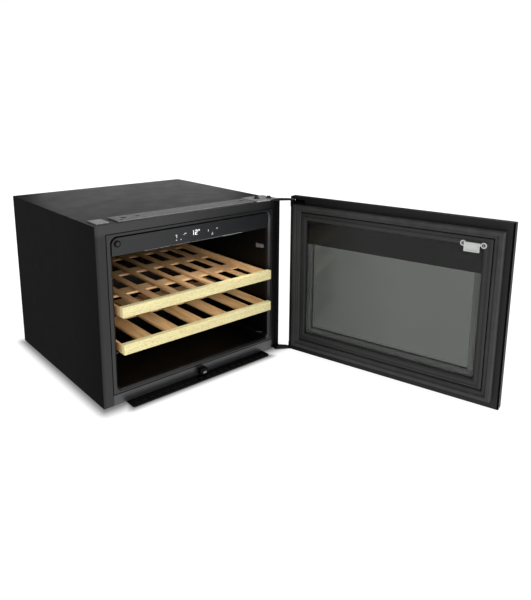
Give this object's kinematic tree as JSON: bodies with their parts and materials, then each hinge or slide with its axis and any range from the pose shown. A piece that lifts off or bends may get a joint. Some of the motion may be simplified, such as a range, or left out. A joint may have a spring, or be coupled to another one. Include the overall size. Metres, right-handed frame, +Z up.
{
  "type": "wine cooler",
  "caption": "Built-in compressor wine cooler with a wide hinged glass door, touch control panel, sliding wooden shelves and a floor-level air grille.",
  "frame": {"origin": "middle of the cabinet's underside, on the base pan", "axes": "+Z up, the front of the cabinet faces -Y, the door hinges on the +X side and stands open towards -Y"},
  "size_m": [0.7231, 1.1421, 0.4625],
  "materials": {
    "black_paint": "fine satin powder coat",
    "front_paint": "smooth satin coat",
    "black_plastic": "moulded, light sheen",
    "dark_plastic": "moulded, matte",
    "insulating_foam": "rigid foamed in place, fine cells",
    "galvanised_steel": "galvanised, faint spangle",
    "bright_steel": "bright plated",
    "copper": "drawn tube",
    "bare_aluminium": "mill finish",
    "black_rubber": "soft moulded",
    "circuit_board": "lacquered board",
    "lamp_lens": "opal lens",
    "outer_glass": "black printed toughened pane, polished",
    "inner_glass": "tinted, polished, printed border",
    "pale_wood": "sanded, clear lacquer",
    "beech": "planed, clear lacquer"
  },
  "bodies": {
    "cabinet": {"outer_wrap": "black_paint", "inner_liner": "black_plastic", "foam_insulation": "insulating_foam", "base_pan": "galvanised_steel", "bottom_rail": "front_paint", "bay_bulkhead": "galvanised_steel", "back_panel": "galvanised_steel", "rear_grille": "black_paint", "foot_front_left": "black_rubber", "foot_front_right": "black_rubber", "foot_rear_left": "black_rubber", "foot_rear_right": "black_rubber", "vent_grille": "black_plastic", "top_fixing_strip": "galvanised_steel", "corner_plate": "galvanised_steel", "upper_hinge_bracket": "galvanised_steel", "lower_hinge_bracket": "black_paint", "upper_hinge_pin": "bright_steel", "lower_hinge_pin": "bright_steel", "hinge_screw_1": "black_plastic", "hinge_screw_2": "black_plastic", "control_panel": "front_paint", "control_board": "circuit_board", "lamp_strip": "lamp_lens", "latch_housing": "black_plastic", "compressor": "black_paint", "compressor_base": "black_rubber", "refrigerant_pipe": "copper", "drain_tray": "dark_plastic", "condenser": "bare_aluminium", "condenser_fan_shroud": "dark_plastic", "power_inlet": "black_plastic", "fan_cover": "black_plastic", "evaporator": "bare_aluminium", "upper_runner_left": "black_plastic", "upper_runner_right": "black_plastic", "lower_runner_left": "black_plastic", "lower_runner_right": "black_plastic"},
    "door": {"door_frame": "black_paint", "outer_glass": "outer_glass", "inner_glass": "inner_glass", "glazing_spacer": "bare_aluminium", "door_liner": "black_plastic", "door_gasket": "black_rubber", "upper_hinge_block": "black_plastic", "lower_hinge_block": "black_plastic", "strike_plate": "bright_steel", "latch_striker": "black_plastic"},
    "upper_shelf": {"upper_shelf_front_rail": "pale_wood", "upper_shelf_left_side": "beech", "upper_shelf_right_side": "beech", "upper_shelf_deck": "beech"},
    "lower_shelf": {"lower_shelf_front_rail": "pale_wood", "lower_shelf_left_side": "beech", "lower_shelf_right_side": "beech", "lower_shelf_deck": "beech"},
    "switch_plunger": {"door_switch_plunger": "dark_plastic"},
    "latch_bolt": {"latch_plunger": "bright_steel"},
    "evaporator_rotor": {"evaporator_fan": "black_plastic"},
    "condenser_rotor": {"condenser_fan": "black_plastic"}
  },
  "joints": [
    {"name": "door_hinge", "type": "hinge", "parent": "cabinet", "child": "door", "pos_m": [0.299, -0.2955, 0.221], "axis": [0, 0, 1], "range_deg": [-103.4, 6.6]},
    {"name": "upper_shelf_slide", "type": "slide", "parent": "cabinet", "child": "upper_shelf", "axis": [0, -1, 0], "range_m": [0, 0.24]},
    {"name": "lower_shelf_slide", "type": "slide", "parent": "cabinet", "child": "lower_shelf", "axis": [0, -1, 0], "range_m": [0, 0.19]},
    {"name": "door_switch_travel", "type": "slide", "parent": "cabinet", "child": "switch_plunger", "axis": [0, 1, 0], "range_m": [0, 0.002], "stiffness_N_per_m": 400},
    {"name": "latch_travel", "type": "slide", "parent": "cabinet", "child": "latch_bolt", "axis": [0, 1, 0], "range_m": [0, 0.004], "stiffness_N_per_m": 600},
    {"name": "evaporator_fan_spin", "type": "hinge", "parent": "cabinet", "child": "evaporator_rotor", "pos_m": [0, 0.196, 0.33], "axis": [0, 1, 0], "continuous": true},
    {"name": "condenser_fan_spin", "type": "hinge", "parent": "cabinet", "child": "condenser_rotor", "pos_m": [-0.066, 0.178, 0.095], "axis": [1, 0, 0], "continuous": true}
  ]
}
